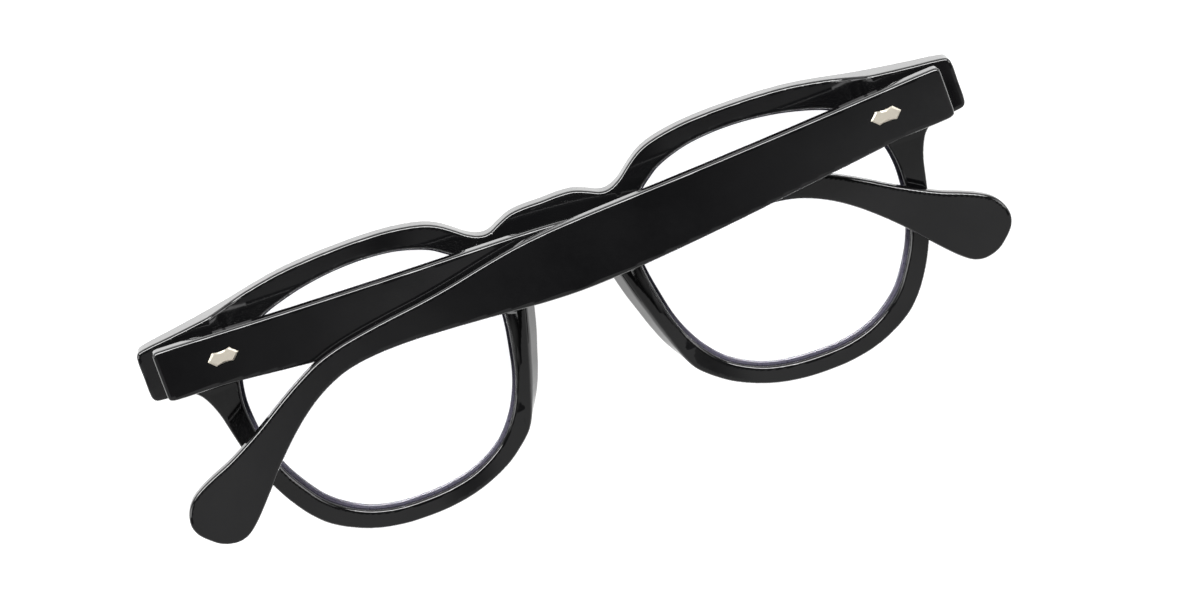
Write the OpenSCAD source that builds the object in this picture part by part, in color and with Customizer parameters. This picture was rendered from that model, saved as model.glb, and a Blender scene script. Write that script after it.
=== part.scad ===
// Folded acetate eyeglasses with rivet hinges and shield-shaped plaques.
// Millimetres. The glasses lie on the front of their rims with the arms folded:
// +X is the wearer's right, +Y is toward the brow, +Z is toward the wearer.
// The origin is at the middle of the outline, on the surface the rims lie on.

/* [Front] */
// Depth of the rims, front to back
rim_depth = 4.6; // [3.6:0.1:5.4]
// Height of the flat back of the end pieces, where the arms close
mitre_z = 11.0; // [9.5:0.1:12]
// Distance from the hinge line of the outlines to the middle of the whole part
middle_y = 14.35; // [14:0.05:15]
// Radius of the front's gentle wrap around the face
wrap_r = 220; // [150:10:400]

/* [Lenses] */
// Thickness of a lens at its edge
lens_t = 1.75; // [1.2:0.05:2.4]
// How far a lens reaches into the groove of its rim
lens_bite = 0.75; // [0.4:0.05:1.0]
// Depth of the lens front face behind the front face of the rim
lens_set = 1.35; // [0.8:0.05:2.2]
// Room around the lens edge in its groove
lens_play = 0.05; // [0.02:0.01:0.1]

/* [Hinges] */
// Sideways distance of each hinge axis from the middle
hinge_x = 66.35; // [66:0.05:69]
// Height of the hinge axes on the end pieces
hinge_y = 1.4; // [0.5:0.1:2.5]
// Distance of the hinge axes from the surface the rims lie on
hinge_z = 13.2; // [12.9:0.05:13.6]
// Radius of the knuckles
knuckle_r = 1.25; // [1.1:0.05:1.4]
// Radius of the bore through the knuckles
bore_r = 0.70; // [0.68:0.01:0.74]
// Radius of the hinge screw
screw_r = 0.65; // [0.6:0.01:0.67]
// Length of the stack of five knuckles
stack = 5.0; // [4.5:0.1:5.5]
// Gap between two knuckles
knuckle_gap = 0.06; // [0.04:0.01:0.1]
// Thickness of the hinge plates
plate_t = 0.8; // [0.6:0.1:1]

/* [Arms] */
// Tilt of the folded left arm, toward the lenses
left_tilt = 2.6; // [2.2:0.1:2.8]
// Tilt of the folded right arm, away from the lenses
right_tilt = 1.3; // [1.2:0.1:1.7]
// Thickness of an arm at its hinge
arm_t0 = 3.6; // [3.2:0.1:4]
// Thickness of an arm at its tip
arm_t1 = 2.9; // [2.6:0.1:3.2]
// Distance from the hinge axis to the inner face of the arm
arm_in = 1.3; // [1.27:0.01:1.5]
// Rounding of the long edges of the arms
arm_edge = 0.75; // [0.4:0.05:1]
// Radius of the steel wire inside the arm
core_r = 0.6; // [0.5:0.05:0.8]

/* [Plaques] */
// How far the plaques stand out of the acetate
plaque_out = 0.35; // [0.2:0.05:0.6]
// Depth of the seats of the plaques
plaque_in = 0.35; // [0.2:0.05:0.6]
// Radius of the two rivet pins of each plaque
pin_r = 0.5; // [0.4:0.05:0.7]
// Distance between the two pins
pin_gap = 2.7; // [2.4:0.1:3]

/* [Hidden] */
$fn = 48;

// The right half of the outline, from the top of the bridge round to its underside
half_outline = [[0, 5.15], [3, 5.2], [5.6, 4.95], [8, 4.0], [9.6, 3.25], [10.7, 3.1],
  [12, 3.4], [13.5, 4.2], [15, 5.4], [17.5, 7.2], [20, 8.25], [25, 9.2], [30, 9.55],
  [35, 9.6], [40, 9.5], [45, 9.15], [50, 8.4], [55, 7.5], [60, 6.8], [65, 6.2],
  [69.6, 5.7], [70.8, 5.35], [71.2, 4.6], [71.25, 1.2], [71.2, -2.2], [70.9, -3.0],
  [70.0, -3.35], [67, -3.6], [65.2, -4.2], [63.9, -5.1], [62.75, -6.9], [61.8, -9.5],
  [61.15, -12.5], [60.35, -16.1], [59.2, -20], [57.65, -24.05], [55.2, -28.6],
  [52.6, -32.0], [50, -34.2], [45.1, -36.7], [40.1, -37.95], [35.1, -38.3],
  [30.1, -38.05], [25.1, -36.95], [20.1, -34.8], [17, -32.6], [14.7, -30.4],
  [13.0, -28.0], [11.2, -24.8], [9.9, -21.6], [8.9, -18.5], [7.9, -15.4],
  [7.05, -12.1], [6.3, -9], [5.1, -6.3], [3, -4.4], [0, -3.6]];

// The visible opening of the right lens
lens_opening = [[16.3, 1.35], [17.9, 2.6], [20, 3.95], [25, 5.6], [30, 6.25], [35, 6.3],
  [40, 5.85], [44.8, 4.95], [49.8, 3.4], [53.4, 1.2], [55.8, -2], [57.0, -6.1],
  [57.45, -9.2], [57.4, -12.2], [57.05, -15.3], [55.4, -21.2], [53.1, -25.7],
  [50.1, -29.8], [45.2, -33.3], [40.2, -34.9], [35.2, -35.3], [30.1, -35.05],
  [25.1, -33.9], [20.1, -31.1], [17.05, -27.7], [15.05, -24.1], [13.85, -20.8],
  [13.0, -16.9], [12.3, -12.9], [12.05, -9.8], [12.35, -6.3], [13.1, -3.4], [14.5, -0.8]];

// Stations along an arm, from its hinge end to its tip: distance and height of the
// top edge, then of the bottom edge, all from the hinge axis
arm_stations = [[-2.15, 3.7, -2.15, -3.55], [-1.45, 4.4, -1.45, -4.25],
  [7.15, 3.95, 7.15, -4.7], [17.15, 3.4, 17.15, -5.85], [27.15, 2.9, 27.15, -7],
  [37.15, 2.45, 37.15, -8.15], [47.15, 2.05, 47.15, -9.1], [57.15, 1.7, 56.65, -9.8],
  [66.35, 1.25, 65.15, -10.1], [73.15, 0.55, 72.15, -9.8], [79.15, -0.5, 78.15, -9.25],
  [85.15, -1.7, 84.15, -8.75], [91.15, -2.65, 90.15, -8.35], [96.15, -3.25, 95.15, -8.15],
  [101.65, -4.05, 99.65, -8.25], [105.85, -4.85, 103.15, -8.6], [109.85, -6.05, 106.15, -9.25],
  [113.75, -7.95, 108.95, -10.35], [117.75, -10.25, 111.75, -11.85],
  [121.75, -12.75, 114.85, -14.05], [125.65, -14.95, 118.05, -16.85],
  [129.15, -16.7, 121.15, -19.95], [132.15, -17.9, 123.95, -23.15],
  [134.65, -19.05, 126.45, -25.95], [136.55, -20.25, 128.45, -27.95],
  [137.65, -21.55, 130.15, -29.2], [138.3, -23.05, 131.75, -29.65],
  [138.45, -24.55, 133.35, -29.5], [138.05, -25.85, 134.85, -28.95],
  [137.35, -26.85, 135.85, -28.25]];

// Stations down a nose pad: height, inner foot, ridge, height of the ridge, outer foot
pad_stations = [[-6.8, 6.5, 7.9, 5.5, 9.4], [-8.6, 6.7, 8.2, 6.8, 10.8],
  [-10.6, 7.15, 8.75, 7.9, 11.3], [-13.5, 7.8, 9.6, 8.5, 11.6], [-16.5, 8.65, 10.45, 8.55, 12.1],
  [-19.5, 9.6, 11.2, 8.2, 12.8], [-22, 10.4, 11.8, 7.55, 13.2], [-24.4, 11.35, 12.4, 6.6, 13.5],
  [-26.2, 12.2, 12.9, 5.4, 13.5]];

// The two ends of the straight steel wire inside an arm
core_path = [[13.6, -1.5], [100, -5.9]];

// The corners of a plaque, about its middle
plaque_shape = [[-2.65, 0], [-1.5, 1.17], [-0.75, 1.02], [0, 0.97], [0.75, 1.02], [1.45, 1.17],
  [2.65, 0], [1.45, -1.17], [0.75, -1.02], [0, -0.97], [-0.75, -1.02], [-1.5, -1.17]];

// Places of the plaques: distance of the one on the arm, and both heights
arm_plaque = [8.65, -0.15];
front_plaque_x = 61.2;
// Height and half width of the flat seat of the nose pads and the bridge
pad_seat_z = 4.9;
pad_seat_x = 14;

// --- curves ---

function knot(t, a, b) = t + sqrt(norm(b - a));
function between(a, b, ta, tb, t) = ((tb - t) * a + (t - ta) * b) / (tb - ta);
// A point on the smooth curve through p1 and p2, a share u of the way between them
function on_curve(p0, p1, p2, p3, u) =
  let (t1 = knot(0, p0, p1), t2 = knot(t1, p1, p2), t3 = knot(t2, p2, p3))
  let (t = t1 + (t2 - t1) * u)
  let (a1 = between(p0, p1, 0, t1, t), a2 = between(p1, p2, t1, t2, t))
  let (a3 = between(p2, p3, t2, t3, t))
  between(between(a1, a2, 0, t2, t), between(a2, a3, t1, t3, t), t1, t2, t);
// A closed smooth curve through all the points, with n steps between each two
function closed_curve(p, n) =
  let (k = len(p))
  [for (i = [0 : k - 1]) for (j = [0 : n - 1])
    on_curve(p[(i + k - 1) % k], p[i], p[(i + 1) % k], p[(i + 2) % k], j / n)];
function mirrored(p) = [for (i = [len(p) - 2 : -1 : 1]) [-p[i][0], p[i][1]]];

// Height of the front face of the rims, from the surface they lie on
function front_z(x) =
  let (a = abs(x))
  a > 12 ? pow(a - 20, 2) / (2 * wrap_r) : 32 / wrap_r + (144 - a * a) / (3 * wrap_r);
// Height of the back face of the rims, which is flat under the nose pads
function back_z(x) = abs(x) <= pad_seat_x ? pad_seat_z : front_z(x) + rim_depth;
bend_x = [-72, -68, -64, -60, -56, -52, -48, -44, -40, -36, -32, -28, -24, -20, -16, -14,
  -12, -8, -4, 0, 4, 8, 12, 14, 16, 20, 24, 28, 32, 36, 40, 44, 48, 52, 56, 60, 64, 68, 72];

// --- shared shapes ---

module right_side() children();
module left_side() mirror([1, 0, 0]) children();
module placed() translate([0, middle_y, 0]) children();

// A sheet between two bent faces, given as rows of heights along bend_x
module bent_sheet(low, high) {
  last = len(bend_x) - 1;
  up = [for (i = [0 : last]) [bend_x[i], low[i]]];
  back = [for (i = [last : -1 : 0]) [bend_x[i], high[i]]];
  translate([0, -14, 0]) rotate([90, 0, 0])
    linear_extrude(height = 70, center = true) polygon(concat(up, back));
}

// A solid through a row of rings with the same number of points
module loft(rings) {
  n = len(rings[0]);
  m = len(rings);
  points = [for (ring = rings) for (p = ring) p];
  start = [[for (i = [n - 1 : -1 : 0]) i]];
  end = [[for (i = [0 : n - 1]) (m - 1) * n + i]];
  a = [for (k = [0 : m - 2]) for (i = [0 : n - 1])
    [k * n + i, k * n + (i + 1) % n, (k + 1) * n + (i + 1) % n]];
  b = [for (k = [0 : m - 2]) for (i = [0 : n - 1])
    [k * n + i, (k + 1) * n + (i + 1) % n, (k + 1) * n + i]];
  polyhedron(points = points, faces = concat(start, end, a, b), convexity = 8);
}

// A round bar between two points of a flat path
module bar(a, b, r) {
  d = b - a;
  translate([a[0], a[1], 0]) rotate([0, 0, atan2(d[1], d[0])]) rotate([0, 90, 0])
    cylinder(h = norm(d), r = r);
}

// --- the front ---

module front_prism()
  translate([0, 0, -1]) linear_extrude(height = 16)
    polygon(closed_curve(concat(half_outline, mirrored(half_outline)), 2));

module opening_prism(grow)
  translate([0, 0, -2]) linear_extrude(height = 18)
    offset(delta = grow) polygon(closed_curve(lens_opening, 2));

// The thick end piece, with a rounded step up from the rim
module end_block_right() {
  step = [[50, 5.5], [51.6, 6.6], [53.0, 7.15], [54.3, 7.8], [55.4, 8.6], [56.3, 9.6],
    [56.9, 10.6], [57.0, mitre_z], [72, mitre_z], [72, 8]];
  side = [[50, 12], [72, 12], [72, -5], [68, -4.2], [64, -4.6], [60, -5.2],
    [57.5, -4.4], [50, 2.4]];
  intersection() {
    translate([0, -14, 0]) rotate([90, 0, 0])
      linear_extrude(height = 70, center = true) polygon(step);
    linear_extrude(height = 20) polygon(side);
  }
}

module frame_front_body() {
  intersection() {
    front_prism();
    union() {
      bent_sheet([for (x = bend_x) front_z(x)], [for (x = bend_x) back_z(x)]);
      right_side() end_block_right();
      left_side() end_block_right();
    }
  }
}

module front_cuts_right() {
  opening_prism(0);
  lens_shape(lens_bite + lens_play, lens_set - lens_play, lens_set + lens_t + lens_play);
  front_plaque_body();
}

module frame_front() {
  color("#15151a") placed() difference() {
    frame_front_body();
    right_side() front_cuts_right();
    left_side() front_cuts_right();
  }
}

module lens_shape(grow, z0, z1) {
  intersection() {
    opening_prism(grow);
    bent_sheet([for (x = bend_x) front_z(x) + z0], [for (x = bend_x) front_z(x) + z1]);
  }
}

module lens_body() lens_shape(lens_bite, lens_set, lens_set + lens_t);
module lens_left() color("#cfe0ee", 0.5) placed() left_side() lens_body();
module lens_right() color("#cfe0ee", 0.5) placed() right_side() lens_body();

// One slice through a nose pad, from its inner foot over the ridge to its outer foot
function pad_ring(s) =
  let (h = s[3] - pad_seat_z)
  [[s[1], s[0], pad_seat_z], [s[4], s[0], pad_seat_z], [s[4] - 0.15, s[0], pad_seat_z + 0.4 * h],
    [s[2] + 0.65, s[0], s[3] - 0.12 * h], [s[2], s[0], s[3]],
    [s[2] - 0.55, s[0], s[3] - 0.14 * h], [s[1] + 0.2, s[0], pad_seat_z + 0.3 * h]];
module pad_right() loft([for (s = pad_stations) pad_ring(s)]);
module nose_pad_left() color("#15151a") placed() left_side() pad_right();
module nose_pad_right() color("#15151a") placed() right_side() pad_right();

// --- the hinges, about an axis along Y at the origin ---

pitch = stack / 5;
function knuckle_y(i) = -stack / 2 + i * pitch + knuckle_gap / 2;

// A knuckle with a web that reaches down to the plate on the front
module front_knuckle(i) {
  h = pitch - knuckle_gap;
  translate([0, knuckle_y(i), 0]) {
    rotate([-90, 0, 0]) cylinder(h = h, r = knuckle_r);
    translate([-0.95, 0, mitre_z - hinge_z]) cube([1.9, h, hinge_z - mitre_z]);
  }
}

// A knuckle with a web that reaches along the plate on the arm
module arm_knuckle(i) {
  h = pitch - knuckle_gap;
  translate([0, knuckle_y(i), 0]) {
    rotate([-90, 0, 0]) cylinder(h = h, r = knuckle_r);
    translate([0, 0, arm_in - plate_t]) cube([2.6, h, plate_t]);
  }
}

module bore()
  rotate([90, 0, 0]) cylinder(h = stack + 2, r = bore_r, center = true);

module front_plate_right()
  translate([front_plaque_x - 3.1, hinge_y - stack / 2, mitre_z])
    cube([hinge_x + 0.95 - front_plaque_x + 3.1, stack, plate_t]);

module pins(z0, z1) {
  translate([-pin_gap / 2, 0, z0]) cylinder(h = z1 - z0, r = pin_r);
  translate([pin_gap / 2, 0, z0]) cylinder(h = z1 - z0, r = pin_r);
}

module front_hinge_body() {
  difference() {
    union() {
      front_plate_right();
      translate([hinge_x, hinge_y, hinge_z]) {
        front_knuckle(0);
        front_knuckle(2);
        front_knuckle(4);
      }
    }
    translate([hinge_x, hinge_y, hinge_z]) bore();
    translate([front_plaque_x, hinge_y, 0]) pins(0, 14);
  }
}
module front_hinge_left() color("#b9b9bd") placed() left_side() front_hinge_body();
module front_hinge_right() color("#b9b9bd") placed() right_side() front_hinge_body();

module screw_body() {
  head = 0.6;
  translate([hinge_x, hinge_y, hinge_z]) rotate([-90, 0, 0]) difference() {
    union() {
      translate([0, 0, -stack / 2]) cylinder(h = stack, r = screw_r);
      translate([0, 0, stack / 2 - knuckle_gap / 2]) cylinder(h = head, r = 1.15);
    }
    translate([-2, -0.14, stack / 2 + 0.27]) cube([4, 0.28, 2]);
  }
}
module hinge_screw_left() color("#c8c8cc") placed() left_side() screw_body();
module hinge_screw_right() color("#c8c8cc") placed() right_side() screw_body();

// --- the plaques ---

module plaque_plate() linear_extrude(height = plaque_in + plaque_out) polygon(plaque_shape);

module front_plaque_body() {
  x = front_plaque_x;
  z = front_z(x);
  slope = atan((x - 20) / wrap_r);
  translate([x, hinge_y, z]) rotate([0, -slope, 0])
    translate([0, 0, -plaque_out]) mirror([1, 0, 0]) plaque_plate();
  translate([x, hinge_y, 0]) pins(z, mitre_z + plate_t);
}
module front_plaque_left() color("#d8cdb4") placed() left_side() front_plaque_body();
module front_plaque_right() color("#d8cdb4") placed() right_side() front_plaque_body();

// --- an arm, from its hinge axis along +X, with its outer face up ---

function arm_t(r) = r < 0 ? arm_t0 : arm_t0 + (arm_t1 - arm_t0) * pow(r / 139, 0.55);

// One slice through an arm: a rectangle with rounded corners
function arm_ring(s) =
  let (top = [s[0], s[1]], low = [s[2], s[3]], down = (low - top) / norm(low - top))
  let (c = arm_edge, z0 = arm_in, z1 = arm_in + arm_t((s[0] + s[2]) / 2))
  [for (k = [[0, 0, 270], [0, 1, 180], [1, 1, 90], [1, 0, 0]]) for (a = [0, 45, 90])
    let (t = k[2] - a)
    let (mid = k[0] == 0 ? top + c * down : low - c * down)
    let (zm = k[1] == 0 ? z0 + c : z1 - c)
    let (p = mid + c * cos(t) * down)
    [p[0], p[1], zm + c * sin(t)]];

module arm_solid() loft([for (s = arm_stations) arm_ring(s)]);

module arm_plate()
  translate([1.6, -stack / 2, arm_in - plate_t])
    cube([arm_plaque[0] + 1, stack, plate_t]);

module core_body()
  translate([0, 0, arm_in + 1.6]) bar(core_path[0], core_path[1], core_r);

module arm_plaque_body() {
  z = arm_in + arm_t(arm_plaque[0]);
  translate([arm_plaque[0], arm_plaque[1], z - plaque_in]) plaque_plate();
  translate([arm_plaque[0], arm_plaque[1], 0]) pins(arm_in - plate_t, z - plaque_in);
}

module arm_hinge_body() {
  difference() {
    union() {
      arm_plate();
      arm_knuckle(1);
      arm_knuckle(3);
    }
    bore();
    translate([arm_plaque[0], arm_plaque[1], 0]) pins(-1, 3);
  }
}

module temple_body() {
  difference() {
    arm_solid();
    arm_plaque_body();
    core_body();
  }
}

// The arms lie folded behind the front, the right one over the left one
module on_left() placed()
  translate([-hinge_x, hinge_y, hinge_z]) rotate([0, left_tilt, 0]) children();
module on_right() placed() mirror([1, 0, 0])
  translate([-hinge_x, hinge_y, hinge_z]) rotate([0, -right_tilt, 0]) children();

module temple_left() color("#15151a") on_left() temple_body();
module temple_right() color("#15151a") on_right() temple_body();
module temple_core_left() color("#9a9a9e") on_left() core_body();
module temple_core_right() color("#9a9a9e") on_right() core_body();
module temple_hinge_left() color("#b9b9bd") on_left() arm_hinge_body();
module temple_hinge_right() color("#b9b9bd") on_right() arm_hinge_body();
module temple_plaque_left() color("#d8cdb4") on_left() arm_plaque_body();
module temple_plaque_right() color("#d8cdb4") on_right() arm_plaque_body();

frame_front();
nose_pad_left();
nose_pad_right();
lens_left();
lens_right();
front_hinge_left();
front_hinge_right();
hinge_screw_left();
hinge_screw_right();
front_plaque_left();
front_plaque_right();
temple_left();
temple_right();
temple_core_left();
temple_core_right();
temple_hinge_left();
temple_hinge_right();
temple_plaque_left();
temple_plaque_right();
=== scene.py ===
"""Polished black acetate eyeglasses, folded, seen from the wearer's side.

The acetate pieces are made from distance fields with rounded edges, and meshed
with a surface net. Lengths inside this script are millimetres in the frame's
own directions: +X the wearer's right, +Y the brow, +Z toward the wearer.
"""

import math

import bpy
import numpy as np
from mathutils import Matrix, Vector


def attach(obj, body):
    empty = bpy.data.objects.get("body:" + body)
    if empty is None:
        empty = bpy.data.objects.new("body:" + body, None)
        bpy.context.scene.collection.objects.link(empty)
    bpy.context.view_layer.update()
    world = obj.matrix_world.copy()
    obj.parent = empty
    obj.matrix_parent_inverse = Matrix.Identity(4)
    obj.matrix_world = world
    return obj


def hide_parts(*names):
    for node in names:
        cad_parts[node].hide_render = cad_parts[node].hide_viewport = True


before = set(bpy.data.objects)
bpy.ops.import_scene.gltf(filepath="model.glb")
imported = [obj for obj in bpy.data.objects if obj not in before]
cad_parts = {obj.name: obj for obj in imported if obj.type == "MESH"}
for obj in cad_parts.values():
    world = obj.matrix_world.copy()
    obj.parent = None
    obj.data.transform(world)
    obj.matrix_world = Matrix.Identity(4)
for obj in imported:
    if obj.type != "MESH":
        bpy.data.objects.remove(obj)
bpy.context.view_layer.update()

MM = 0.001
SIDES = ("left", "right")
# Size of a cell of the surface nets
CELL = 0.36

# The front: distance from the middle of the part up to the outlines' zero, depth of
# the rims, height of the end pieces, radius of the wrap, height of the seat at the nose
MIDDLE_Y = 14.35
RIM_DEPTH = 4.6
MITRE_Z = 11.0
WRAP_R = 220.0
PAD_SEAT_Z = 4.9
# Height of the rim at the foot of a nose pad
PAD_FOOT_Z = 4.6
# How far the front leans outward beside the nose, for each millimetre of height
FLARE = 0.34
# Rounding of the edges, and what is added to it beside the nose
FRONT_EDGE = 0.5
NOSE_EDGE = 2.2
# Slope of the inner face of the end pieces, and where it meets their back
END_SLOPE = math.radians(58)
END_INNER_X = 57.4
# Fillets between the rims and the end pieces, and between the rims and the nose pads
END_FILLET, PAD_FILLET = 4.0, 1.8

# The arms: hinge axis, tilt when folded, inner face from the axis, thickness at the
# hinge and at the tip, the distance between those two, and the edges' rounding
HINGE = (66.35, 1.4, 13.2)
TILT = {"left": 2.6, "right": -1.3}
ARM_IN = 1.3
ARM_T = (3.6, 2.9)
ARM_LENGTH = 139
ARM_EDGE = 0.5

# The right half of the outline, from the top of the bridge round to its underside
HALF_OUTLINE = [
    (0, 5.15), (3, 5.2), (5.6, 4.95), (8, 4.0), (9.6, 3.25), (10.7, 3.1), (12, 3.4),
    (13.5, 4.2), (15, 5.4), (17.5, 7.2), (20, 8.25), (25, 9.2), (30, 9.55), (35, 9.6),
    (40, 9.5), (45, 9.15), (50, 8.4), (55, 7.5), (60, 6.8), (65, 6.2), (69.6, 5.7),
    (70.8, 5.35), (71.2, 4.6), (71.25, 1.2), (71.2, -2.2), (70.9, -3.0), (70.0, -3.35),
    (67, -3.6), (65.2, -4.2), (63.9, -5.1), (62.75, -6.9), (61.8, -9.5), (61.15, -12.5),
    (60.35, -16.1), (59.2, -20), (57.65, -24.05), (55.2, -28.6), (52.6, -32.0),
    (50, -34.2), (45.1, -36.7), (40.1, -37.95), (35.1, -38.3), (30.1, -38.05),
    (25.1, -36.95), (20.1, -34.8), (17, -32.6), (14.7, -30.4), (13.0, -28.0),
    (11.2, -24.8), (9.9, -21.6), (8.9, -18.5), (7.9, -15.4), (7.05, -12.1), (6.3, -9),
    (5.1, -6.3), (3, -4.4), (0, -3.6),
]  # fmt: skip
# The visible opening of the right lens
LENS_OPENING = [
    (16.3, 1.35), (17.9, 2.6), (20, 3.95), (25, 5.6), (30, 6.25), (35, 6.3), (40, 5.85),
    (44.8, 4.95), (49.8, 3.4), (53.4, 1.2), (55.8, -2), (57.0, -6.1), (57.45, -9.2),
    (57.4, -12.2), (57.05, -15.3), (55.4, -21.2), (53.1, -25.7), (50.1, -29.8),
    (45.2, -33.3), (40.2, -34.9), (35.2, -35.3), (30.1, -35.05), (25.1, -33.9),
    (20.1, -31.1), (17.05, -27.7), (15.05, -24.1), (13.85, -20.8), (13.0, -16.9),
    (12.3, -12.9), (12.05, -9.8), (12.35, -6.3), (13.1, -3.4), (14.5, -0.8),
]  # fmt: skip
# The edges of an arm, along and up from the hinge axis: top to the tip, then back
ARM_TOP = [
    (-2.15, 3.0), (-2.12, 3.75), (-1.95, 4.12), (-1.5, 4.35), (-0.6, 4.36),
    (7.15, 3.95), (17.15, 3.4), (27.15, 2.9), (37.15, 2.45), (47.15, 2.05), (57.15, 1.7),
    (66.35, 1.25), (73.15, 0.55), (79.15, -0.5), (85.15, -1.7), (91.15, -2.65),
    (96.15, -3.25), (101.65, -4.05), (105.85, -4.85),
    (109.85, -6.05), (113.75, -7.95), (117.75, -10.25), (121.75, -12.75),
    (125.65, -14.95), (129.15, -16.7), (132.15, -17.9), (134.65, -19.05),
    (136.55, -20.25), (137.65, -21.55), (138.3, -23.05), (138.45, -24.55),
    (138.05, -25.85), (137.35, -26.85),
]  # fmt: skip
ARM_LOW = [
    (135.85, -28.25), (134.85, -28.95), (133.35, -29.5), (131.75, -29.65),
    (130.15, -29.2), (128.45, -27.95), (126.45, -25.95), (123.95, -23.15),
    (121.15, -19.95), (118.05, -16.85), (114.85, -14.05), (111.75, -11.85),
    (108.95, -10.35), (106.15, -9.25), (103.15, -8.6), (99.65, -8.25), (95.15, -8.15),
    (90.15, -8.35), (84.15, -8.75), (78.15, -9.25), (72.15, -9.8), (65.15, -10.1),
    (56.65, -9.8), (47.15, -9.1), (37.15, -8.15), (27.15, -7.0), (17.15, -5.85),
    (7.15, -4.7), (-0.6, -4.35), (-1.5, -4.2), (-2.0, -3.9), (-2.13, -3.4), (-2.15, -2.4),
]  # fmt: skip
# Down a nose pad: height, ridge, height of the ridge, outer foot
PAD = [
    (-3.0, 7.2, 1.5, 9.0), (-5.0, 7.4, 4.0, 9.2), (-6.8, 7.8, 5.5, 9.8), (-8.6, 8.2, 6.8, 10.8),
    (-10.6, 8.75, 7.9, 11.3), (-13.5, 9.6, 8.5, 11.6), (-16.5, 10.45, 8.55, 12.1),
    (-19.5, 11.2, 8.2, 12.8), (-22, 11.8, 7.55, 13.2), (-24.4, 12.4, 6.6, 13.5),
    (-26.2, 12.9, 5.4, 13.6), (-28, 13.4, 3.8, 13.9), (-31, 14.2, 1.5, 14.6),
]  # fmt: skip
# The corners of a plaque, about its middle
PLAQUE = [
    (-2.65, 0), (-1.5, 1.17), (-0.75, 1.02), (0, 0.97), (0.75, 1.02), (1.45, 1.17),
    (2.65, 0), (1.45, -1.17), (0.75, -1.02), (0, -0.97), (-0.75, -1.02), (-1.5, -1.17),
]  # fmt: skip
# Places of the plaques on the arms and on the front
ARM_PLAQUE = (8.65, -0.15)
FRONT_PLAQUE_X = 61.2
# Height, buried depth and bevel of a plaque
PLAQUE_HEIGHT, PLAQUE_SUNK, PLAQUE_BEVEL = 0.35, 0.3, 0.3
# Both faces of a lens above the bent front, and the share of it that isn't ground
LENS_BACK, LENS_FRONT, LENS_CLEAR = 3.1, 1.35, 0.98
# Scale of the outline where the edge of a lens is widest, and the edge's chamfer
LENS_REACH, LENS_CHAMFER = 1.02, 0.2

# Brightness of the ceiling's grey and dark parts, and the direction of a dark opening
CEILING, CEILING_DARK = 0.6, 0.03
DARK_OPENING = (0.037, -0.185, 0.982)

# The camera looks at the wearer's side from a little above the brow, and is rolled.
# It stands this far from the point it aims at, where the image is this wide:
# 1200 pixels of 0.1657 mm.
CAMERA_TILT = math.radians(10.8)
CAMERA_ROLL = math.radians(20.05)
CAMERA_FAR = 1200.0
CAMERA_AT = (3.591, -13.994, 4.0)
CAMERA_WIDE = 1200 * 0.1657
# Width of the sensor
SENSOR = 36


# --- curves and distances ---


def closed_curve(points, steps):
    """A closed centripetal curve through all the points."""
    p = np.asarray(points, float)
    out = []
    for i in range(len(p)):
        q = [p[(i + k) % len(p)] for k in (-1, 0, 1, 2)]
        t = [0.0]
        for a, b in zip(q, q[1:]):
            t.append(t[-1] + math.sqrt(np.linalg.norm(b - a)))

        def mix(a, b, ta, tb, x):
            return ((tb - x) * a + (x - ta) * b) / (tb - ta)

        for j in range(steps):
            x = t[1] + (t[2] - t[1]) * j / steps
            a1, a2, a3 = (mix(q[k], q[k + 1], t[k], t[k + 1], x) for k in range(3))
            b1, b2 = mix(a1, a2, t[0], t[2], x), mix(a2, a3, t[1], t[3], x)
            out.append(mix(b1, b2, t[1], t[2], x))
    return np.array(out)


def signed_distance(loop, px, py):
    """Distance of points to a closed loop, negative inside it."""
    best = np.full(px.shape, 1e9)
    inside = np.zeros(px.shape, bool)
    for (ax, ay), (bx, by) in zip(loop, np.roll(loop, -1, axis=0)):
        ex, ey = bx - ax, by - ay
        wx, wy = px - ax, py - ay
        t = np.clip((wx * ex + wy * ey) / (ex * ex + ey * ey), 0, 1)
        best = np.minimum(best, (wx - t * ex) ** 2 + (wy - t * ey) ** 2)
        if ey:
            crosses = (ay > py) != (by > py)
            inside ^= crosses & (px < ex * (py - ay) / ey + ax)
    d = np.sqrt(best)
    return np.where(inside, -d, d)


def outline_table(loop, low, high, pitch=0.125):
    """A function of x and y that looks up the distance to a closed loop."""
    wide, tall = (np.arange(a, b + pitch, pitch) for a, b in zip(low, high))
    table = signed_distance(loop, *np.meshgrid(wide, tall, indexing="ij"))

    def look_up(x, y):
        u, v = (x - low[0]) / pitch, (y - low[1]) / pitch
        i = np.clip(np.floor(u).astype(int), 0, len(wide) - 2)
        j = np.clip(np.floor(v).astype(int), 0, len(tall) - 2)
        u, v = u - i, v - j
        start = table[i, j] * (1 - v) + table[i, j + 1] * v
        return start * (1 - u) + (table[i + 1, j] * (1 - v) + table[i + 1, j + 1] * v) * u

    return look_up


def both(a, b, r):
    """Where both solids are, with the edge between them rounded to radius r."""
    a, b = a + r, b + r
    corner = np.hypot(np.maximum(a, 0), np.maximum(b, 0))
    return corner + np.minimum(np.maximum(a, b), 0) - r


def joined(a, b, r):
    """Both solids joined, with a fillet of radius r between them."""
    corner = np.hypot(np.maximum(r - a, 0), np.maximum(r - b, 0))
    return np.maximum(np.minimum(a, b), r) - corner


def ramp(x, low, high):
    """0 at low and 1 at high, smooth between."""
    t = np.clip((x - low) / (high - low), 0, 1)
    return t * t * (3 - 2 * t)


# --- a surface net over a distance field ---


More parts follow.
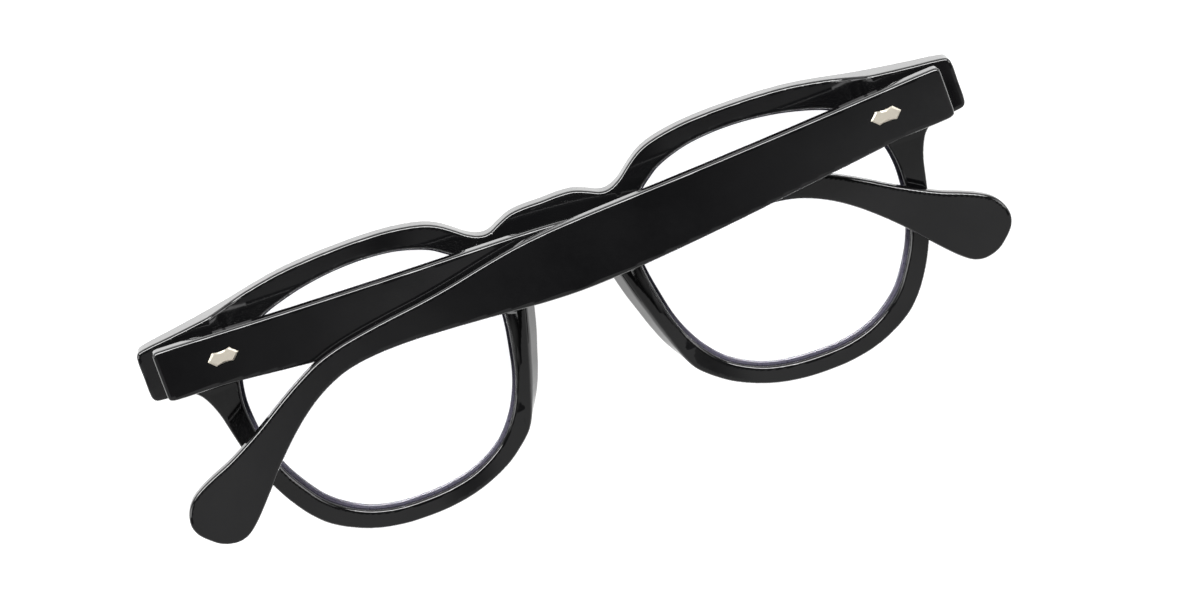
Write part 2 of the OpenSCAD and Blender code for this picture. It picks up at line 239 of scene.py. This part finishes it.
def net(field, low, high, cell):
    """Vertices, quads and normals of the zero surface of field(x, y, z)."""
    axes = [np.arange(a, b + cell, cell) for a, b in zip(low, high)]
    x, y, z = np.meshgrid(*axes, indexing="ij", sparse=True)
    value = field(x, y, z)
    inside = value < 0
    cells = np.zeros(np.array(value.shape) - 1, int)
    for i in (0, 1):
        for j in (0, 1):
            for k in (0, 1):
                part = inside[i:, j:, k:]
                cells += part[: cells.shape[0], : cells.shape[1], : cells.shape[2]]
    live = (cells > 0) & (cells < 8)
    index = np.full(live.shape, -1)
    index[live] = np.arange(live.sum())
    at = np.argwhere(live)
    base = np.array(low)
    points = base + (at + 0.5) * cell
    quads = []
    for axis in range(3):
        one = [slice(None)] * 3
        two = [slice(None)] * 3
        one[axis], two[axis] = slice(None, -1), slice(1, None)
        a, b = inside[tuple(one)], inside[tuple(two)]
        u, v = (axis + 1) % 3, (axis + 2) % 3
        edge = np.argwhere(a != b)
        edge = edge[(edge[:, u] > 0) & (edge[:, v] > 0)]
        edge = edge[(edge[:, u] < inside.shape[u] - 1) & (edge[:, v] < inside.shape[v] - 1)]
        du, dv = np.eye(3, dtype=int)[u], np.eye(3, dtype=int)[v]
        ring = [edge - du - dv, edge - dv, edge, edge - du]
        q = np.stack([index[tuple(r.T)] for r in ring], 1)
        outward = a[tuple(edge.T)]
        q[~outward] = q[~outward][:, ::-1]
        quads.append(q)
    for _ in range(5):
        f, g = slope(field, points)
        step = f[:, None] * g / np.maximum((g * g).sum(1), 0.2)[:, None]
        points = points - np.clip(step, -0.5 * cell, 0.5 * cell)
    normals = slope(field, points)[1]
    normals /= np.linalg.norm(normals, axis=1)[:, None]
    return points, np.vstack(quads), normals


def slope(field, p, h=0.02):
    """The field and its gradient at points."""
    x, y, z = p.T
    f = field(x, y, z)
    g = [
        (field(x + h, y, z) - field(x - h, y, z)) / (2 * h),
        (field(x, y + h, z) - field(x, y - h, z)) / (2 * h),
        (field(x, y, z + h) - field(x, y, z - h)) / (2 * h),
    ]
    return f, np.stack(g, 1)


def to_frame(points):
    """Points of the outlines' own place, in millimetres, to the frame in metres."""
    p = np.array(points, float)
    p[:, 1] += MIDDLE_Y
    return p * MM


def piece(name, points, faces, material, body, normals=None, replaces=()):
    """A smooth mesh that rides on a body."""
    mesh = bpy.data.meshes.new(name)
    mesh.from_pydata([tuple(p) for p in points], [], [tuple(map(int, f)) for f in faces])
    mesh.validate()
    mesh.shade_smooth()
    if normals is not None:
        mesh.normals_split_custom_set_from_vertices([tuple(n) for n in normals])
    mesh.materials.append(material)
    obj = bpy.data.objects.new(name, mesh)
    bpy.context.scene.collection.objects.link(obj)
    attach(obj, body)
    if replaces:
        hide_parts(*replaces)
    return obj


# --- materials ---


def new_material(name):
    """A material, its nodes and links, and its shader."""
    mat = bpy.data.materials.new(name)
    mat.use_nodes = True
    nodes, links = mat.node_tree.nodes, mat.node_tree.links
    return mat, nodes, links, nodes["Principled BSDF"]


def noise(nodes, links, scale, detail=3.0, rough=0.5, stretch=None):
    """A noise texture in the piece's own place."""
    where = nodes.new("ShaderNodeTexCoord")
    tex = nodes.new("ShaderNodeTexNoise")
    tex.inputs["Scale"].default_value = scale
    tex.inputs["Detail"].default_value = detail
    tex.inputs["Roughness"].default_value = rough
    source = where.outputs["Object"]
    if stretch:
        turn = nodes.new("ShaderNodeMapping")
        turn.inputs["Scale"].default_value = stretch
        links.new(source, turn.inputs["Vector"])
        source = turn.outputs["Vector"]
    links.new(source, tex.inputs["Vector"])
    return tex.outputs["Fac"]


def spread(nodes, links, fac, low, high, ends=(0.3, 0.7)):
    """Maps a texture to a range of numbers."""
    node = nodes.new("ShaderNodeMapRange")
    node.inputs["From Min"].default_value = ends[0]
    node.inputs["From Max"].default_value = ends[1]
    node.inputs["To Min"].default_value = low
    node.inputs["To Max"].default_value = high
    links.new(fac, node.inputs["Value"])
    return node.outputs["Result"]


def tint(nodes, links, fac, dark, light):
    """Maps a texture to a range of colours."""
    node = nodes.new("ShaderNodeValToRGB")
    node.color_ramp.elements[0].position = 0.3
    node.color_ramp.elements[1].position = 0.7
    node.color_ramp.elements[0].color = (*dark, 1)
    node.color_ramp.elements[1].color = (*light, 1)
    links.new(fac, node.inputs["Fac"])
    return node.outputs["Color"]


def relief(nodes, links, shader, fac, strength, depth):
    """Bumps from a texture."""
    bump = nodes.new("ShaderNodeBump")
    bump.inputs["Strength"].default_value = strength
    bump.inputs["Distance"].default_value = depth
    links.new(fac, bump.inputs["Height"])
    links.new(bump.outputs["Normal"], shader.inputs["Normal"])


def acetate():
    """Deep black, hand polished, with faint polishing marks."""
    mat, nodes, links, shader = new_material("black_acetate")
    cloud = noise(nodes, links, 90, 2)
    colour = tint(nodes, links, cloud, (0.0018, 0.0018, 0.002), (0.003, 0.003, 0.0032))
    links.new(colour, shader.inputs["Base Color"])
    marks = noise(nodes, links, 900, 4, 0.6)
    links.new(spread(nodes, links, marks, 0.055, 0.075), shader.inputs["Roughness"])
    shader.inputs["IOR"].default_value = 1.49
    relief(nodes, links, shader, noise(nodes, links, 160, 2), 0.03, 0.00004)
    return mat


def metal(name, dark, light, rough, stretch, scale):
    """Brushed or polished metal, with a fine grain."""
    mat, nodes, links, shader = new_material(name)
    grain = noise(nodes, links, scale, 4, 0.6, stretch)
    links.new(tint(nodes, links, grain, dark, light), shader.inputs["Base Color"])
    links.new(spread(nodes, links, grain, *rough), shader.inputs["Roughness"])
    shader.inputs["Metallic"].default_value = 1.0
    relief(nodes, links, shader, grain, 0.1, 0.00001)
    return mat


def coated_lens():
    """Clear lens whose coating shows a faint violet where it is seen edge on.

    Its refractive index is far below a real lens's, which keeps reflections faint.
    """
    mat, nodes, links, shader = new_material("coated_lens")
    film = noise(nodes, links, 25, 2)
    colour = tint(nodes, links, film, (0.955, 0.958, 0.975), (0.985, 0.985, 0.992))
    links.new(colour, shader.inputs["Base Color"])
    haze = noise(nodes, links, 400, 3)
    links.new(spread(nodes, links, haze, 0.0, 0.012), shader.inputs["Roughness"])
    shader.inputs["Transmission Weight"].default_value = 1.0
    shader.inputs["IOR"].default_value = 1.12
    shader.inputs["Specular Tint"].default_value = (0.62, 0.55, 1.0, 1)
    return mat


def ground_edge_painted_shade():
    """The matte edge that is ground round a lens, painted a dark lilac-grey: painted shade of
    the black groove it sits in, with a painted violet reflection of the coating.
    """
    mat, nodes, links, shader = new_material("ground_lens_edge_painted_shade")
    grit = noise(nodes, links, 3000, 3)
    # Painted shade and painted reflection: this dark lilac-grey stands for the groove's shade
    # and the coating's violet, not the edge's own colour
    colour = tint(nodes, links, grit, (0.05, 0.046, 0.07), (0.085, 0.08, 0.11))
    links.new(colour, shader.inputs["Base Color"])
    links.new(spread(nodes, links, grit, 0.25, 0.4), shader.inputs["Roughness"])
    return mat


BLACK = acetate()
STEEL = metal(
    "hinge_steel", (0.32, 0.32, 0.33), (0.46, 0.46, 0.47), (0.24, 0.36), (1, 1, 9), 700
)
SCREW = metal(
    "screw_steel", (0.50, 0.50, 0.51), (0.68, 0.68, 0.69), (0.14, 0.26), (1, 1, 1), 900
)
SILVER = metal(
    "plaque_metal", (0.70, 0.645, 0.545), (0.78, 0.725, 0.62), (0.36, 0.44), (1, 6, 1), 5000
)
WIRE = metal("core_wire", (0.35, 0.35, 0.36), (0.5, 0.5, 0.51), (0.3, 0.45), (1, 8, 8), 500)
LENS = coated_lens()
LENS_EDGE_PAINTED_SHADE = ground_edge_painted_shade()


# --- the front ---

WHOLE_OUTLINE = HALF_OUTLINE + [(-x, y) for x, y in HALF_OUTLINE[-2:0:-1]]
to_outline = outline_table(closed_curve(WHOLE_OUTLINE, 3), (-6, -41), (75, 12))
to_opening = outline_table(closed_curve(LENS_OPENING, 4), (-2, -41), (75, 12))


def front_z(x):
    """Height of the front's outer face, which wraps round the face."""
    a = np.abs(x)
    mid = 32 / WRAP_R + (144 - a * a) / (3 * WRAP_R)
    return np.where(a > 12, (a - 20) ** 2 / (2 * WRAP_R), mid)


def pad_at(y, column):
    """One measure of the nose pad, at a height."""
    rows = np.array(PAD)
    return np.interp(-y, -rows[:, 0], rows[:, column])


def front_field(x, y, z):
    """The acetate front: rims, bridge, end pieces and nose pads as one solid."""
    a = np.abs(x)
    face = front_z(x)
    near_nose = ramp(a, 22, 15) * ramp(y, -3.0, -10) * ramp(y, -31, -24)
    lean = FLARE * near_nose * np.maximum(z - face - 0.9, 0)
    back = joined(rim_back(a, y, z, face), end_block(a, y, z), END_FILLET)
    back = joined(back, nose_pad(a, y, z), PAD_FILLET)
    rim = both(to_outline(a - lean, y), back, FRONT_EDGE + NOSE_EDGE * near_nose)
    return both(both(rim, -to_opening(a, y), FRONT_EDGE), face - z, FRONT_EDGE)


def rim_back(a, y, z, face):
    """The rim's back, which sinks under the end block and is flat near the nose."""
    sunk = 3.0 * ramp(a, 56, 61) * np.maximum(ramp(y, -3.4, -1.4), ramp(a, 64, 66.5))
    flat = PAD_SEAT_Z - 0.25 * np.maximum(a - 12, 0)
    return z - np.maximum(face + RIM_DEPTH - sunk, flat)


def end_block(a, y, z):
    """The raised end piece that carries the hinge, with a sloping inner face."""
    inner = (END_INNER_X - a) * math.sin(END_SLOPE) + (z - MITRE_Z) * math.cos(END_SLOPE)
    lower = -1.7 - 2.6 * ramp(a, 65.5, 68.2) - y
    return both(both(z - MITRE_Z, inner, 1.0), lower, 0.6)


def nose_pad(a, y, z):
    """A ridge beside the nose, and its slope down to the rim."""
    ridge_z, ridge_x, foot = pad_at(y, 2), pad_at(y, 1), pad_at(y, 3)
    run, up = foot - ridge_x, np.maximum(ridge_z - PAD_FOOT_Z, 0.3)
    slope_down = ((a - foot) * up + (z - PAD_FOOT_Z) * run) / np.hypot(run, up)
    return both(both(slope_down, z - ridge_z, 1.2), a - foot - 1.0, 0.8)


def make_front():
    """The front and both nose pads as one mesh."""
    low, high = (-72.5, -39.5, -0.9), (72.5, 10.9, 12.0)
    points, quads, normals = net(front_field, low, high, CELL)
    return piece(
        "front_acetate", to_frame(points), quads, BLACK, "front",
        normals, ("frame_front", "nose_pad_left", "nose_pad_right"),
    )  # fmt: skip


# --- the arms, about the hinge axis: along, up, outward ---

to_arm = outline_table(closed_curve(ARM_TOP + ARM_LOW, 3), (-5, -33), (142, 8))


def arm_t(r):
    """Thickness of an arm at a distance from its hinge, which falls faster at first."""
    part = r / ARM_LENGTH
    return ARM_T[0] + (ARM_T[1] - ARM_T[0]) * (1.6 - 0.6 * part) * part


def arm_field(x, y, z):
    """An arm in its own place, with its outer face toward +z."""
    slab = np.maximum(ARM_IN - z, z - ARM_IN - arm_t(x))
    return both(to_arm(x, y), slab, ARM_EDGE)


def folded(side):
    """Carries an arm's own place to its folded place in the frame."""
    x, y, z = HINGE
    turn = Matrix.Rotation(math.radians(TILT[side]), 4, "Y")
    place = Matrix.Translation((-x, y + MIDDLE_Y, z)) @ turn
    if side == "right":
        place = Matrix.Scale(-1, 4, (1, 0, 0)) @ place
    return place


def carried(points, normals, quads, side):
    """Carries a mesh from an arm's own place to its folded place, in metres."""
    m = np.array(folded(side))
    p = (points @ m[:3, :3].T + m[:3, 3]) * MM
    n = normals @ m[:3, :3].T if normals is not None else None
    q = [tuple(reversed(f)) for f in quads] if side == "right" else quads
    return p, n, q


def make_arms():
    """Both arms from one mesh, each in its folded place."""
    low, high = (-3.2, -31.0, 0.3), (139.6, 5.6, 6.0)
    points, quads, normals = net(arm_field, low, high, CELL)
    for side in SIDES:
        p, n, q = carried(points, normals, quads, side)
        piece(
            "arm_acetate_" + side, p, q, BLACK, "arm_" + side,
            n, ("temple_" + side,),
        )  # fmt: skip


# --- the lenses ---


def make_lens(side):
    """A thin bent disc whose ground edge sits in the rim's groove."""
    loop = closed_curve(LENS_OPENING, 6)
    centre = loop.mean(0)
    inner = [0.2, 0.4, 0.6, 0.75, 0.87, 0.94, LENS_CLEAR]
    rows = [ring_at(loop, centre, k, LENS_BACK) for k in inner]
    rows.append(ring_at(loop, centre, 1.0, LENS_BACK - LENS_CHAMFER))
    rows.append(ring_at(loop, centre, LENS_REACH, 0.5 * (LENS_BACK + LENS_FRONT)))
    rows.append(ring_at(loop, centre, 1.0, LENS_FRONT + LENS_CHAMFER))
    rows += [ring_at(loop, centre, k, LENS_FRONT) for k in reversed(inner)]
    n = len(loop)
    tips = [[*centre, front_z(centre[0]) + z] for z in (LENS_BACK, LENS_FRONT)]
    points = np.vstack([tips[:1], *rows, tips[1:]])
    faces = [(0, 1 + (i + 1) % n, 1 + i) for i in range(n)]
    for r in range(len(rows) - 1):
        a, b = 1 + r * n, 1 + (r + 1) * n
        faces += [(a + i, a + (i + 1) % n, b + (i + 1) % n, b + i) for i in range(n)]
    end, a = len(points) - 1, 1 + (len(rows) - 1) * n
    faces += [(end, a + i, a + (i + 1) % n) for i in range(n)]
    # The faces of the ground edge, which take the material with the painted shade
    ground = range(n * len(inner), n * (len(inner) + 4))
    if side == "left":
        points[:, 0] *= -1
        faces = [tuple(reversed(f)) for f in faces]
    obj = piece(
        "lens_glass_" + side, to_frame(points), faces, LENS, "front",
        replaces=("lens_" + side,),
    )  # fmt: skip
    obj.data.materials.append(LENS_EDGE_PAINTED_SHADE)
    for i in ground:
        obj.data.polygons[i].material_index = 1
    flat_edges(obj, 12)


def ring_at(loop, centre, k, height):
    """The lens outline scaled about its centre, at a height over the bent front."""
    ring = centre + (loop - centre) * k
    return np.c_[ring, front_z(ring[:, 0]) + height]


def flat_edges(obj, degrees):
    """Keeps the edges that turn by more than this sharp."""
    edges = obj.modifiers.new("edges", "EDGE_SPLIT")
    edges.split_angle = math.radians(degrees)


# --- the plaques ---


def plaque_mesh():
    """A plaque with a flat face and a bevelled edge, about its middle."""
    shape = np.array(PLAQUE, float)
    long = np.linalg.norm(shape, axis=1)[:, None]
    n = len(shape)
    shoulder = PLAQUE_HEIGHT - 0.8 * PLAQUE_BEVEL
    rows = [(0.0, -PLAQUE_SUNK), (0.0, shoulder), (PLAQUE_BEVEL, PLAQUE_HEIGHT)]
    rings = [np.c_[shape * (1 - k / long), np.full(n, z)] for k, z in rows]
    points = np.vstack(rings)
    faces = []
    for r in range(2):
        for i in range(n):
            j = (i + 1) % n
            faces.append((r * n + i, r * n + j, (r + 1) * n + j, (r + 1) * n + i))
    faces += [tuple(range(2 * n, 3 * n)), tuple(range(n))[::-1]]
    return points, [tuple(reversed(f)) for f in faces]


def make_plaques():
    """A plaque on each arm, and the same on each end of the front."""
    points, faces = plaque_mesh()
    r, up = ARM_PLAQUE
    on_arm = points + np.array([r, up, ARM_IN + float(arm_t(r))])
    for side in SIDES:
        p, _, q = carried(on_arm, None, faces, side)
        piece(
            "arm_plaque_" + side, p, q, SILVER, "arm_" + side,
            replaces=("temple_plaque_" + side,),
        )  # fmt: skip
        flat_edges(bpy.data.objects["arm_plaque_" + side], 15)
        p, q = on_front(points, faces, side)
        piece(
            "front_shield_" + side, p, q, SILVER, "front",
            replaces=("front_plaque_" + side,),
        )  # fmt: skip
        flat_edges(bpy.data.objects["front_shield_" + side], 15)


def on_front(points, faces, side):
    """Carries a plaque's mesh to the outer face of the front."""
    x = FRONT_PLAQUE_X
    slant = Matrix.Rotation(-math.atan((x - 20) / WRAP_R), 4, "Y")
    turn = Matrix.Translation((x, HINGE[1] + MIDDLE_Y, float(front_z(x)))) @ slant
    turn = turn @ Matrix.Scale(-1, 4, (0, 0, 1))
    if side == "left":
        turn = Matrix.Scale(-1, 4, (1, 0, 0)) @ turn
    m = np.array(turn)
    p = (points @ m[:3, :3].T + m[:3, 3]) * MM
    return p, [tuple(reversed(f)) for f in faces] if side == "right" else faces


# --- the CAD pieces that stay ---


def dress():
    """Gives each CAD piece that stays its metal."""
    looks = {
        "front_hinge": STEEL, "temple_hinge": STEEL, "hinge_screw": SCREW,
        "temple_core": WIRE,
    }  # fmt: skip
    for name, look in looks.items():
        for side in SIDES:
            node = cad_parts[name + "_" + side]
            for slot in node.material_slots:
                slot.material = look


# --- floor, light and camera ---


def pair_up(nodes, links, how, a, b):
    """One number out of two."""
    node = nodes.new("ShaderNodeMath")
    node.operation = how
    links.new(a, node.inputs[0])
    links.new(b, node.inputs[1])
    return node.outputs[0]


def make_floor():
    """A pale floor that gives off light, so that it stays white under the glasses."""
    mesh = bpy.data.meshes.new("floor")
    s = 3.0
    mesh.from_pydata([(-s, -s, 0), (s, -s, 0), (s, s, 0), (-s, s, 0)], [], [(0, 1, 2, 3)])
    mat, nodes, links, shader = new_material("pale_floor")
    fine = noise(nodes, links, 30, 2)
    colour = tint(nodes, links, fine, (0.15, 0.15, 0.15), (0.18, 0.18, 0.18))
    links.new(colour, shader.inputs["Base Color"])
    shader.inputs["Roughness"].default_value = 0.9
    shader.inputs["Emission Color"].default_value = (1, 1, 1, 1)
    shader.inputs["Emission Strength"].default_value = 1.0
    mesh.materials.append(mat)
    floor = bpy.data.objects.new("floor", mesh)
    floor.location.z = -0.0002
    bpy.context.scene.collection.objects.link(floor)


def area_light(name, place, size, power):
    """A rectangular softbox that faces the glasses."""
    data = bpy.data.lights.new(name, "AREA")
    data.shape = "RECTANGLE"
    data.size, data.size_y = size
    data.energy = power
    lamp = bpy.data.objects.new(name, data)
    lamp.location = place
    lamp.rotation_euler = (Vector() - Vector(place)).to_track_quat("-Z", "Y").to_euler()
    bpy.context.scene.collection.objects.link(lamp)


def make_light():
    """A white horizon, a ceiling whose dark parts the acetate mirrors, and softboxes."""
    world = bpy.data.worlds.new("studio")
    bpy.context.scene.world = world
    world.use_nodes = True
    nodes, links = world.node_tree.nodes, world.node_tree.links
    sky = nodes["Background"]
    sky.inputs["Color"].default_value = (1, 1, 1, 1)
    way = nodes.new("ShaderNodeTexCoord").outputs["Generated"]
    split = nodes.new("ShaderNodeSeparateXYZ")
    links.new(way, split.inputs[0])
    gap = nodes.new("ShaderNodeVectorMath")
    gap.operation = "DISTANCE"
    gap.inputs[1].default_value = DARK_OPENING
    links.new(way, gap.inputs[0])
    ceiling = spread(nodes, links, split.outputs["Y"], CEILING, CEILING_DARK, (-0.177, -0.166))
    shade = spread(nodes, links, gap.outputs["Value"], 0.04, 1.0, (0.012, 0.05))
    horizon = spread(nodes, links, split.outputs["Z"], 1.0, 0.0, (0.15, 0.62))
    high = pair_up(nodes, links, "MULTIPLY", ceiling, shade)
    links.new(pair_up(nodes, links, "MAXIMUM", high, horizon), sky.inputs["Strength"])
    area_light("brow_softbox", (0.0, 0.8, 0.85), (1.8, 0.42), 55)
    area_light("side_softbox_left", (-1.0, 0.2, 0.7), (0.35, 1.0), 5)
    area_light("side_softbox_right", (1.0, 0.2, 0.7), (0.35, 1.0), 5)
    bpy.context.scene.view_settings.view_transform = "Standard"


def make_camera():
    """A camera with a long lens, at the viewing angle of the folded glasses."""
    away = Vector((0, math.sin(CAMERA_TILT), math.cos(CAMERA_TILT)))
    up = Vector((0, math.cos(CAMERA_TILT), -math.sin(CAMERA_TILT)))
    right = up.cross(away)
    c, s = math.cos(CAMERA_ROLL), math.sin(CAMERA_ROLL)
    turned_right, turned_up = right * c - up * s, right * s + up * c
    x, y, z = CAMERA_AT
    place = (Vector((x, y + MIDDLE_Y, z)) + away * CAMERA_FAR) * MM
    rows = Matrix((turned_right, turned_up, away)).transposed()
    data = bpy.data.cameras.new("camera")
    data.sensor_width = SENSOR
    data.lens = SENSOR * CAMERA_FAR / CAMERA_WIDE
    data.clip_start, data.clip_end = 0.01, 20
    cam = bpy.data.objects.new("camera", data)
    cam.matrix_world = Matrix.Translation(place) @ rows.to_4x4()
    bpy.context.scene.collection.objects.link(cam)
    bpy.context.scene.camera = cam


make_front()
make_arms()
for side in SIDES:
    make_lens(side)
make_plaques()
dress()
make_floor()
make_light()
make_camera()
